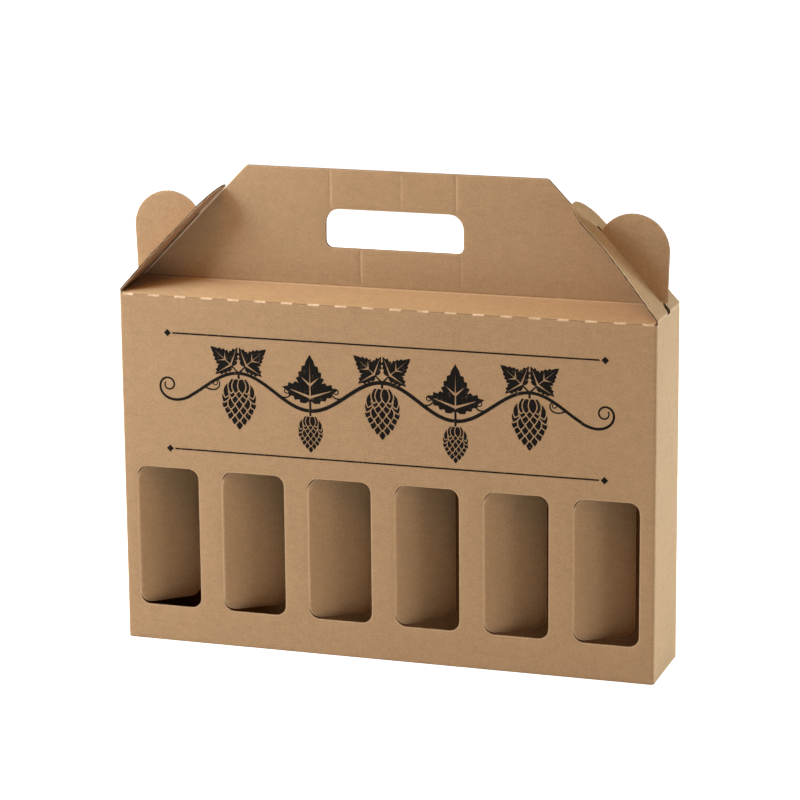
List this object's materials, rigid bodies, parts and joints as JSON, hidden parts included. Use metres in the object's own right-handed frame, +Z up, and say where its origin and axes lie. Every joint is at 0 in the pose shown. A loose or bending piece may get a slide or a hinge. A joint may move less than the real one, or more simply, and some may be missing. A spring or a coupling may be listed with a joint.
{
  "type": "cardboard bottle carrier",
  "caption": "Flat kraft board carrier for a row of bottles, with front windows, slotted end flaps hooked over ears and a hand hole in its folded top.",
  "frame": {"origin": "on the floor at the centre of the box", "axes": "+X along the length, +Y to the back, +Z up; the windows face -Y"},
  "size_m": [0.412, 0.07, 0.3635],
  "materials": {
    "kraft_board": "unbleached kraft liner, uncoated and matt, on fine-fluted corrugated board"
  },
  "bodies": {
    "carton": {"carton": "kraft_board"},
    "end_flap_left": {"end_flap_left": "kraft_board"},
    "end_flap_right": {"end_flap_right": "kraft_board"},
    "window_flap_1": {"window_flap_1": "kraft_board"},
    "window_flap_2": {"window_flap_2": "kraft_board"},
    "window_flap_3": {"window_flap_3": "kraft_board"},
    "window_flap_4": {"window_flap_4": "kraft_board"},
    "window_flap_5": {"window_flap_5": "kraft_board"},
    "window_flap_6": {"window_flap_6": "kraft_board"}
  },
  "joints": [
    {"name": "end_flap_left_crease", "type": "hinge", "parent": "carton", "child": "end_flap_left", "pos_m": [-0.20525, 0, 0.2712], "axis": [0, -1, 0], "range_deg": [0, 130]},
    {"name": "end_flap_right_crease", "type": "hinge", "parent": "carton", "child": "end_flap_right", "pos_m": [0.20525, 0, 0.2712], "axis": [0, 1, 0], "range_deg": [0, 130]},
    {"name": "window_flap_1_crease", "type": "hinge", "parent": "carton", "child": "window_flap_1", "pos_m": [-0.19425, -0.03425, 0.08205], "axis": [0, 0, 1], "range_deg": [-41, 49]},
    {"name": "window_flap_2_crease", "type": "hinge", "parent": "carton", "child": "window_flap_2", "pos_m": [-0.12615, -0.03425, 0.08205], "axis": [0, 0, 1], "range_deg": [-35, 55]},
    {"name": "window_flap_3_crease", "type": "hinge", "parent": "carton", "child": "window_flap_3", "pos_m": [-0.05805, -0.03425, 0.08205], "axis": [0, 0, 1], "range_deg": [-31, 59]},
    {"name": "window_flap_4_crease", "type": "hinge", "parent": "carton", "child": "window_flap_4", "pos_m": [0.01005, -0.03425, 0.08205], "axis": [0, 0, 1], "range_deg": [-40, 50]},
    {"name": "window_flap_5_crease", "type": "hinge", "parent": "carton", "child": "window_flap_5", "pos_m": [0.07815, -0.03425, 0.08205], "axis": [0, 0, 1], "range_deg": [-33, 57]},
    {"name": "window_flap_6_crease", "type": "hinge", "parent": "carton", "child": "window_flap_6", "pos_m": [0.14625, -0.03425, 0.08205], "axis": [0, 0, 1], "range_deg": [-35, 55]}
  ]
}
